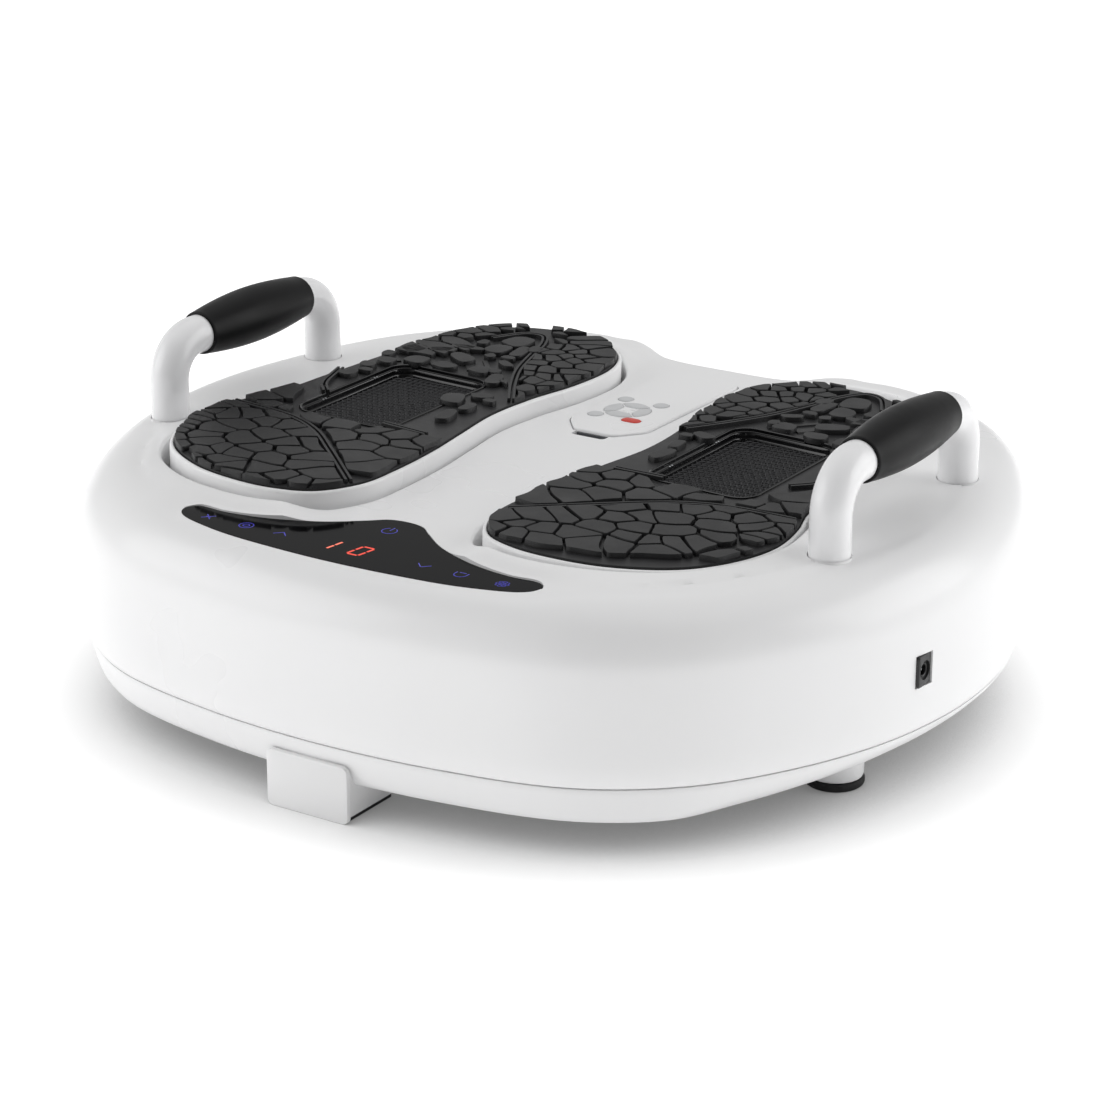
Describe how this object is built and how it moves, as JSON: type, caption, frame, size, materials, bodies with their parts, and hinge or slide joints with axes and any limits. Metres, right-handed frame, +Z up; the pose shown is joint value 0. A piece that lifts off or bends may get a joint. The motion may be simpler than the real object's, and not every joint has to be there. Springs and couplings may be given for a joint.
{
  "type": "vibration plate",
  "caption": "See-saw vibration plate: low white body, two tread-soled foot plates on a rocker, side handles, touch panel and a nested remote.",
  "frame": {"origin": "on the floor under the middle of the body's plan", "axes": "+Z up, -Y towards the user's front edge with the touch panel, +X to the right"},
  "size_m": [0.566, 0.495, 0.2097],
  "materials": {
    "white_abs": "glossy moulded ABS",
    "white_coat": "gloss powder coat",
    "black_rubber": "moulded tread, satin",
    "foot_rubber": "matt",
    "grip_rubber": "satin soft-touch",
    "black_gloss": "high gloss",
    "black_abs": "fine texture",
    "grey_button": "satin",
    "red_button": "satin",
    "smoke_lens": "clear smoke",
    "steel": "turned steel",
    "painted_steel": "grey primer",
    "bronze": "sintered bronze",
    "circuit_board": "solder mask",
    "belt_rubber": "ribbed belt"
  },
  "bodies": {
    "body": {"top_shell": "white_abs", "bottom_tray": "white_abs", "base_frame": "painted_steel", "touch_panel": "black_gloss", "display_module": "black_abs", "control_board": "circuit_board", "power_inlet": "black_abs", "left_handle": "white_coat", "right_handle": "white_coat", "left_grip": "grip_rubber", "right_grip": "grip_rubber", "left_front_foot": "white_abs", "left_back_foot": "white_abs", "right_front_foot": "white_abs", "right_back_foot": "white_abs", "left_front_foot_pad": "foot_rubber", "left_back_foot_pad": "foot_rubber", "right_front_foot_pad": "foot_rubber", "right_back_foot_pad": "foot_rubber", "front_foot": "white_abs", "front_foot_cover": "white_abs", "front_foot_pad": "foot_rubber", "pivot_shaft": "steel", "front_pivot_block": "painted_steel", "back_pivot_block": "painted_steel", "front_bearing_block": "painted_steel", "back_bearing_block": "painted_steel", "drive_belt": "belt_rubber", "motor_bracket": "painted_steel", "drive_motor": "steel"},
    "rocker": {"rocker_frame": "painted_steel", "front_rocker_bush": "bronze", "back_rocker_bush": "bronze", "conrod_pin": "steel", "left_foot_plate": "white_abs", "right_foot_plate": "white_abs", "left_sole": "black_rubber", "right_sole": "black_rubber", "left_window_frame": "black_gloss", "right_window_frame": "black_gloss", "left_grille": "black_abs", "right_grille": "black_abs"},
    "conrod": {"conrod": "steel"},
    "eccentric": {"eccentric_shaft": "steel", "large_pulley": "black_abs"},
    "motor_rotor": {"motor_pulley": "steel"},
    "remote": {"remote_case": "white_abs", "remote_cover": "white_abs", "remote_led": "smoke_lens", "remote_board": "circuit_board", "coin_cell": "steel", "battery_tray": "white_abs"},
    "remote_power_button_body": {"remote_power_button": "red_button"},
    "remote_button_front_left_body": {"remote_button_front_left": "grey_button"},
    "remote_button_back_left_body": {"remote_button_back_left": "grey_button"},
    "remote_button_back_right_body": {"remote_button_back_right": "grey_button"},
    "remote_petal_front_body": {"remote_petal_front": "grey_button"},
    "remote_petal_back_body": {"remote_petal_back": "grey_button"},
    "remote_petal_left_body": {"remote_petal_left": "grey_button"},
    "remote_petal_right_body": {"remote_petal_right": "grey_button"}
  },
  "joints": [
    {"name": "rocker_swing", "type": "hinge", "parent": "body", "child": "rocker", "pos_m": [0, 0, 0.094], "axis": [0, 1, 0], "range_deg": [-2.66, 0]},
    {"name": "conrod_swing", "type": "hinge", "parent": "rocker", "child": "conrod", "pos_m": [-0.10995, -0.06, 0.09755], "axis": [0, 1, 0], "range_deg": [0, 2.66]},
    {"name": "eccentric_spin", "type": "hinge", "parent": "body", "child": "eccentric", "pos_m": [-0.11, -0.06, 0.06], "axis": [0, 1, 0], "continuous": true},
    {"name": "motor_spin", "type": "hinge", "parent": "body", "child": "motor_rotor", "pos_m": [0.09, -0.101, 0.06], "axis": [0, 1, 0], "continuous": true},
    {"name": "remote_lift", "type": "slide", "parent": "body", "child": "remote", "axis": [0, 0, 1], "range_m": [0, 0.04]},
    {"name": "remote_power_button_press", "type": "slide", "parent": "remote", "child": "remote_power_button_body", "axis": [0, 0, -1], "range_m": [0, 0.0007], "stiffness_N_per_m": 300, "springref_m": -0.0003},
    {"name": "remote_button_front_left_press", "type": "slide", "parent": "remote", "child": "remote_button_front_left_body", "axis": [0, 0, -1], "range_m": [0, 0.0007], "stiffness_N_per_m": 300, "springref_m": -0.0003},
    {"name": "remote_button_back_left_press", "type": "slide", "parent": "remote", "child": "remote_button_back_left_body", "axis": [0, 0, -1], "range_m": [0, 0.0007], "stiffness_N_per_m": 300, "springref_m": -0.0003},
    {"name": "remote_button_back_right_press", "type": "slide", "parent": "remote", "child": "remote_button_back_right_body", "axis": [0, 0, -1], "range_m": [0, 0.0007], "stiffness_N_per_m": 300, "springref_m": -0.0003},
    {"name": "remote_petal_front_press", "type": "slide", "parent": "remote", "child": "remote_petal_front_body", "axis": [0, 0, -1], "range_m": [0, 0.0007], "stiffness_N_per_m": 300, "springref_m": -0.0003},
    {"name": "remote_petal_back_press", "type": "slide", "parent": "remote", "child": "remote_petal_back_body", "axis": [0, 0, -1], "range_m": [0, 0.0007], "stiffness_N_per_m": 300, "springref_m": -0.0003},
    {"name": "remote_petal_left_press", "type": "slide", "parent": "remote", "child": "remote_petal_left_body", "axis": [0, 0, -1], "range_m": [0, 0.0007], "stiffness_N_per_m": 300, "springref_m": -0.0003},
    {"name": "remote_petal_right_press", "type": "slide", "parent": "remote", "child": "remote_petal_right_body", "axis": [0, 0, -1], "range_m": [0, 0.0007], "stiffness_N_per_m": 300, "springref_m": -0.0003}
  ],
  "couplings": [
    {"joint": "conrod_swing", "follows": "rocker_swing", "ratio": -1},
    {"joint": "motor_spin", "follows": "eccentric_spin", "ratio": 3}
  ]
}
